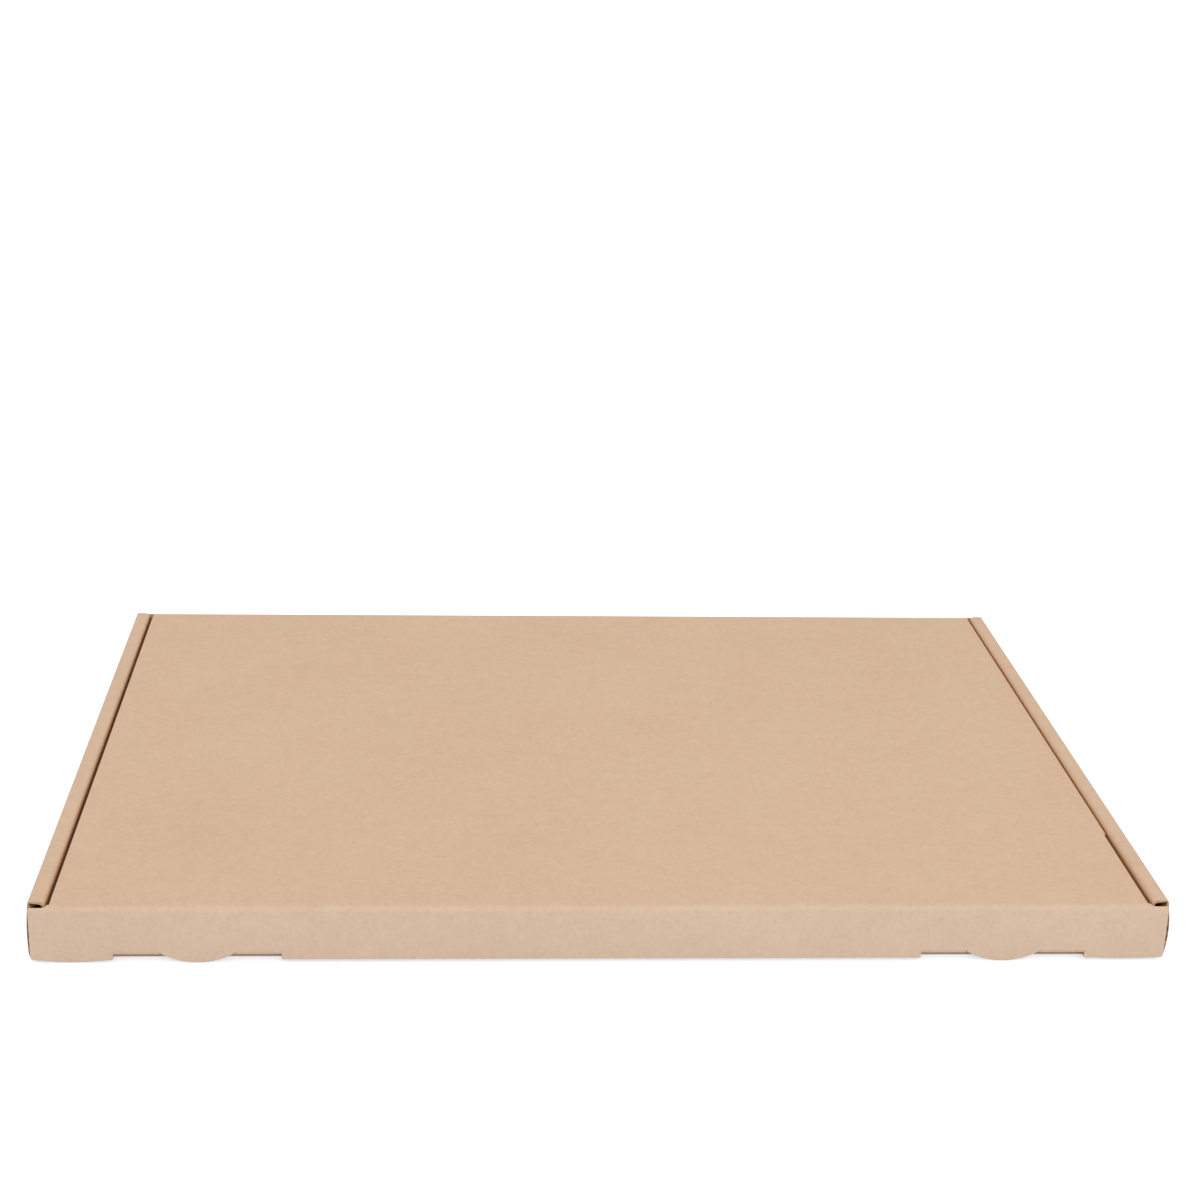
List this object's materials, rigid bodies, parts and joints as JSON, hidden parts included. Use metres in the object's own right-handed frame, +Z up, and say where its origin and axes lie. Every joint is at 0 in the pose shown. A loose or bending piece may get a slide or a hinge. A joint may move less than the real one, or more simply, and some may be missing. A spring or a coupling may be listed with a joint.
{
  "type": "large letter mailer box",
  "caption": "Flat corrugated mailer box, one folded sheet: tray with rolled double sides, hinged lid and front flap with two lock tabs.",
  "frame": {"origin": "middle of the box's underside, on the surface that it rests on", "axes": "+X to the right along the front, +Y from the front flap to the rear hinge, +Z up"},
  "size_m": [0.35, 0.25, 0.02],
  "materials": {
    "kraft_board": "matte"
  },
  "bodies": {
    "tray": {"tray": "kraft_board"},
    "lid": {"lid": "kraft_board"},
    "front_flap": {"front_flap": "kraft_board", "left_lock_tab": "kraft_board", "right_lock_tab": "kraft_board"}
  },
  "joints": [
    {"name": "lid_hinge", "type": "hinge", "parent": "tray", "child": "lid", "pos_m": [0, 0.1242, 0.0182], "axis": [-1, 0, 0], "range_deg": [0, 175], "deforming": ["left_lock_tab", "right_lock_tab"]},
    {"name": "front_flap_hinge", "type": "hinge", "parent": "lid", "child": "front_flap", "pos_m": [0, -0.1242, 0.0182], "axis": [-1, 0, 0], "range_deg": [0, 90], "deforming": ["left_lock_tab", "right_lock_tab"]}
  ]
}
